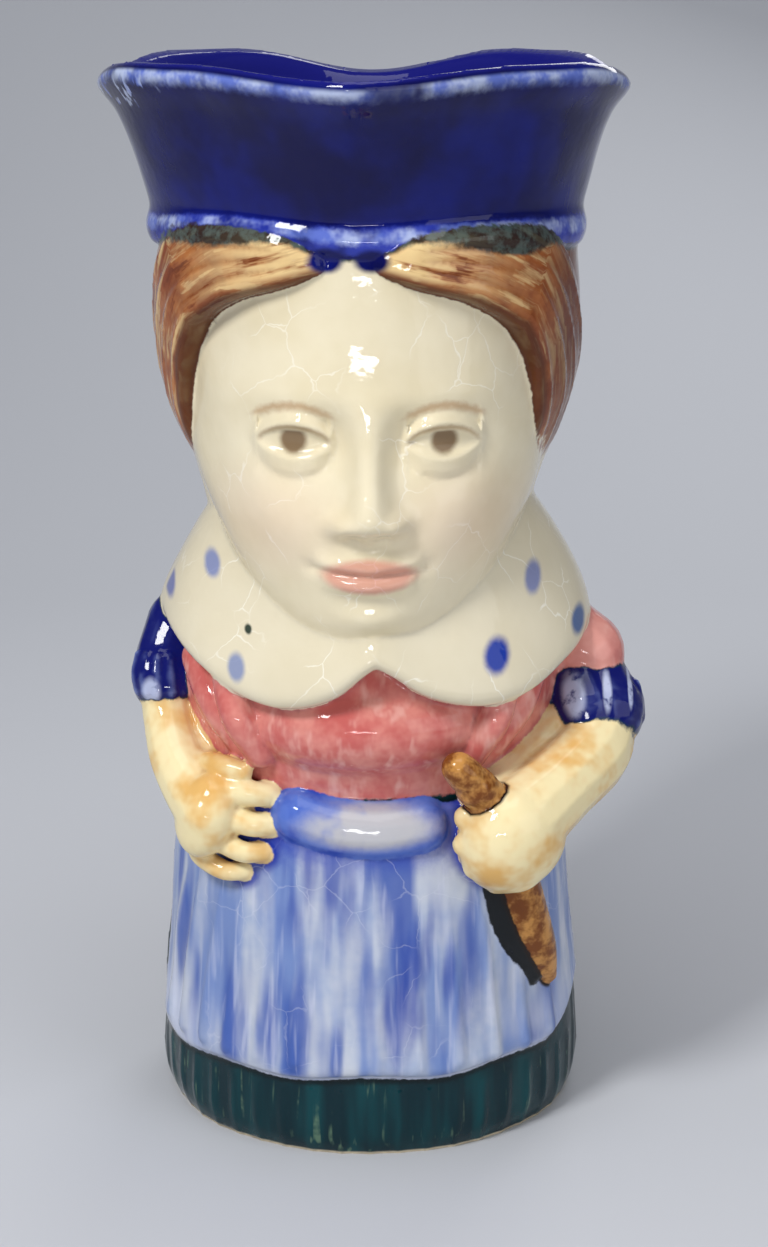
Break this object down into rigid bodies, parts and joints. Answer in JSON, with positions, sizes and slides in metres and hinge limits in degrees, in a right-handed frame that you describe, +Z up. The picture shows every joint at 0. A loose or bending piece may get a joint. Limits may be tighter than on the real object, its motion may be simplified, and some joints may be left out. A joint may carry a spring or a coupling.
{
  "type": "toby jug",
  "caption": "Slip-cast earthenware jug in the shape of a serving woman, with a flared hat as its mouth and pouring lip and a loop handle at the back.",
  "frame": {"origin": "centre of the flat underside", "axes": "+Z up, the figure faces -Y, the handle is at +Y"},
  "size_m": [0.0839, 0.1068, 0.1677],
  "materials": {
    "glazed_earthenware": "gloss glaze over hand-painted earthenware"
  },
  "bodies": {
    "root": {"toby_jug": "glazed_earthenware"}
  },
  "joints": []
}
